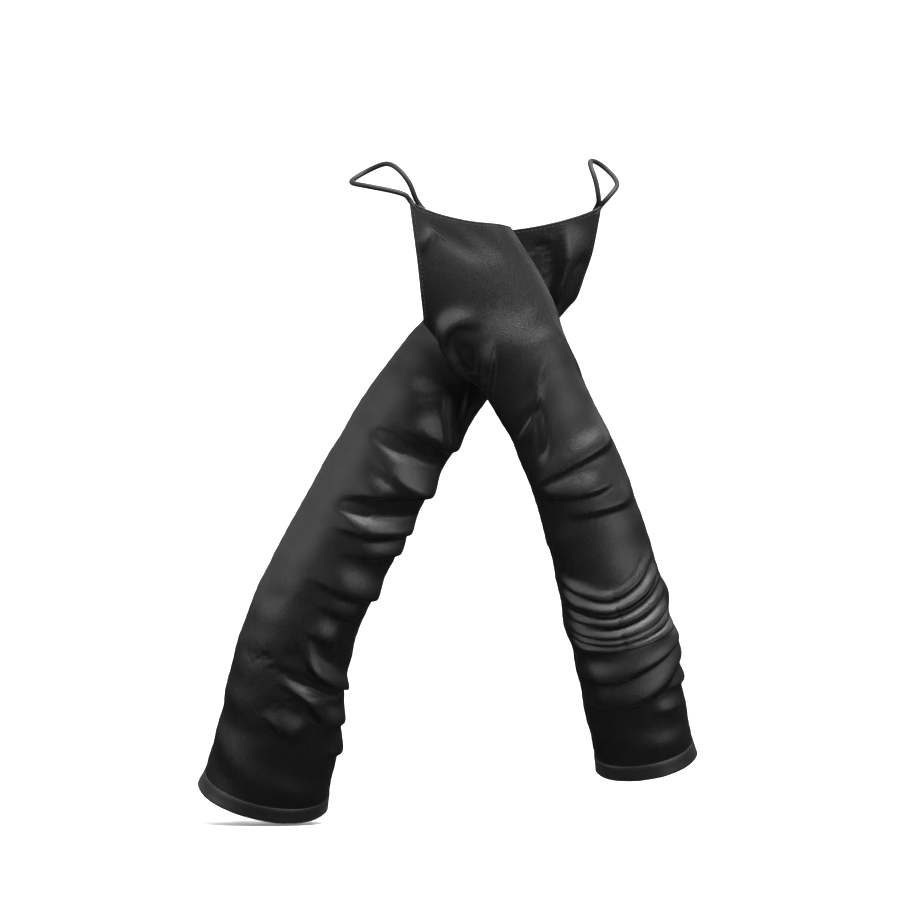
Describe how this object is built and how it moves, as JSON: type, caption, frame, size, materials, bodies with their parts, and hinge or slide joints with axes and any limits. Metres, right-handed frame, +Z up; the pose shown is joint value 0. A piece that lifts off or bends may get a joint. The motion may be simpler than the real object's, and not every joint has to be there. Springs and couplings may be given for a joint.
{
  "type": "opera gloves",
  "caption": "Pair of long fingerless black satin gloves, crossed and shaped as worn, each with a pointed back of the hand and a finger loop.",
  "frame": {"origin": "centre of the left glove's arm opening, at the hem's edge", "axes": "+Z up along the arms towards the hands, -Y the side that shows the backs of the hands, +X towards the right glove's arm opening"},
  "size_m": [0.313, 0.1646, 0.4207],
  "materials": {
    "satin": "satin",
    "seam_satin": "satin",
    "hem_satin": "satin",
    "sewing_thread": "matte",
    "loop_cord": "satin"
  },
  "bodies": {
    "left_glove": {"left_back_panel": "satin", "left_palm_panel": "satin", "left_thumb_seam": "seam_satin", "left_outer_seam": "seam_satin", "left_arm_hem": "hem_satin", "left_hem_stitching": "sewing_thread", "left_back_edge": "hem_satin", "left_palm_edge": "hem_satin", "left_back_stitching": "sewing_thread", "left_palm_stitching": "sewing_thread", "left_bar_tack": "sewing_thread"},
    "right_glove": {"right_back_panel": "satin", "right_palm_panel": "satin", "right_thumb_seam": "seam_satin", "right_outer_seam": "seam_satin", "right_arm_hem": "hem_satin", "right_hem_stitching": "sewing_thread", "right_back_edge": "hem_satin", "right_palm_edge": "hem_satin", "right_back_stitching": "sewing_thread", "right_palm_stitching": "sewing_thread", "right_bar_tack": "sewing_thread"},
    "left_loop": {"left_finger_loop": "loop_cord"},
    "right_loop": {"right_finger_loop": "loop_cord"}
  },
  "joints": [
    {"name": "right_lift_away", "type": "slide", "parent": "left_glove", "child": "right_glove", "axis": [0, -1, 0], "range_m": [0, 0.15]},
    {"name": "left_loop_swing", "type": "hinge", "parent": "left_glove", "child": "left_loop", "pos_m": [0.214, -0.075, 0.377], "axis": [0.7541, 0.4061, -0.5161], "range_deg": [-90, 90]},
    {"name": "right_loop_swing", "type": "hinge", "parent": "right_glove", "child": "right_loop", "pos_m": [0.0935, -0.124, 0.379], "axis": [0.7948, 0, 0.6069], "range_deg": [-90, 90]}
  ]
}
